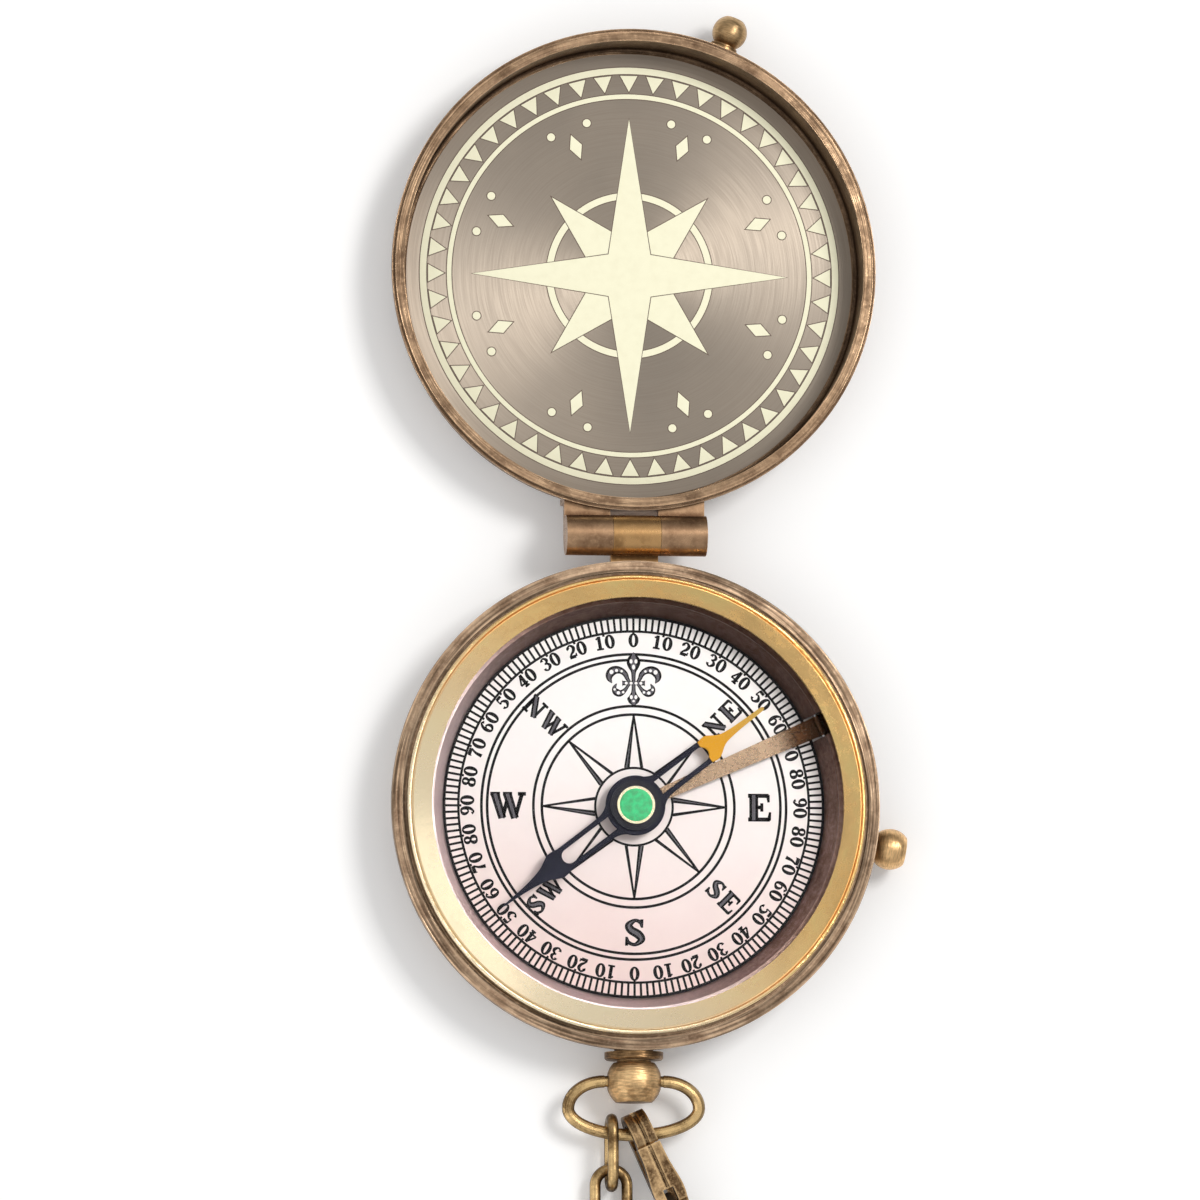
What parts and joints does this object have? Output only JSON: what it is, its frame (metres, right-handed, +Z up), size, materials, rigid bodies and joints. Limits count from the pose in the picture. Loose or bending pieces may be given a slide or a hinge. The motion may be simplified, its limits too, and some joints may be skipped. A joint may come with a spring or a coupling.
{
  "type": "pocket compass",
  "caption": "Round brass pocket compass with a hinged lid, glazed dial, lifting needle lock, bow, chain and clasp, lying open.",
  "frame": {"origin": "centre of the case back's outer face, on which the compass lies", "axes": "+Z up out of the dial, +Y from the dial's centre towards the lid hinge, +X to the dial's east side"},
  "size_m": [0.0797, 0.24, 0.0127],
  "materials": {
    "case_brass": "antique brass, brushed and waxed",
    "bezel_brass": "turned golden brass with fine circular brushing",
    "knob_brass": "polished brass with wear",
    "lid_bronze": "circular brushed bronze",
    "spacer_bronze": "matt purple brown bronze",
    "dial_silver": "silvered satin dial",
    "glass": "clear flat glass",
    "steel": "polished steel",
    "needle_black": "gloss blue black lacquer",
    "jewel": "red jewel cup",
    "hub_green": "green enamel",
    "lever_brass": "satin tan brass",
    "chain_brass": "antique brass, rubbed bright on edges"
  },
  "bodies": {
    "case": {"case_body": "case_brass", "dial_support_ring": "case_brass", "dial_plate": "dial_silver", "spacer_ring": "spacer_bronze", "crystal": "glass", "bezel_ring": "bezel_brass", "pivot_foot": "lever_brass", "pivot_pin": "steel", "lever_pin": "steel", "case_hinge_leaf": "case_brass", "case_hinge_rivets": "knob_brass", "hinge_pin": "knob_brass", "pendant_plate": "chain_brass", "pendant_ball": "knob_brass"},
    "lid": {"lid_shell": "case_brass", "lid_plate": "lid_bronze", "lid_hinge_leaf": "case_brass", "lid_hinge_rivets": "knob_brass", "lid_knob_collar": "case_brass", "lid_knob": "knob_brass"},
    "lock": {"lock_slider": "lever_brass", "lock_collar": "case_brass", "lock_knob": "knob_brass"},
    "lever": {"lifter_lever": "lever_brass"},
    "collar": {"lift_collar": "lever_brass"},
    "needle": {"needle_blade": "needle_black", "needle_hub": "needle_black", "jewel_cup": "jewel", "hub_ring": "knob_brass", "hub_disc": "hub_green"},
    "bow": {"bow": "chain_brass"},
    "chain": {"chain_links": "chain_brass", "clasp_body": "chain_brass", "clasp_pin": "knob_brass", "gate_spring": "steel"},
    "gate": {"clasp_gate": "chain_brass"}
  },
  "joints": [
    {"name": "lid_hinge", "type": "hinge", "parent": "case", "child": "lid", "pos_m": [0, 0.04135, 0.00965], "axis": [1, 0, 0], "range_deg": [0, 180]},
    {"name": "lock_travel", "type": "hinge", "parent": "case", "child": "lock", "pos_m": [0, 0, 0.0049], "axis": [0, 0, 1], "range_deg": [0, 12]},
    {"name": "lever_lift", "type": "hinge", "parent": "case", "child": "lever", "pos_m": [0.02858, 0.01261, 0.0062], "axis": [-0.4035, 0.915, 0], "range_deg": [0, 1.5]},
    {"name": "needle_lift", "type": "slide", "parent": "case", "child": "collar", "axis": [0, 0, 1], "range_m": [0, 0.00085]},
    {"name": "needle_spin", "type": "hinge", "parent": "collar", "child": "needle", "pos_m": [0, 0, 0.0085], "axis": [0, 0, 1], "continuous": true},
    {"name": "bow_swing", "type": "hinge", "parent": "case", "child": "bow", "pos_m": [0, -0.042, 0.0049], "axis": [-1, 0, 0], "range_deg": [-60, 90]},
    {"name": "chain_swing", "type": "hinge", "parent": "bow", "child": "chain", "pos_m": [0, -0.05011, 0.0037], "axis": [-1, 0, 0], "range_deg": [-90, 0]},
    {"name": "gate_open", "type": "hinge", "parent": "chain", "child": "gate", "pos_m": [0.00628, -0.06153, 0.00645], "axis": [-0.9135, -0.4067, 0], "range_deg": [0, 18], "stiffness_Nm_per_rad": 0.01, "springref_deg": -5.73}
  ],
  "couplings": [
    {"joint": "lever_lift", "follows": "lock_travel", "ratio": 0.12},
    {"joint": "needle_lift", "follows": "lock_travel", "m_per_rad": 0.004058}
  ]
}
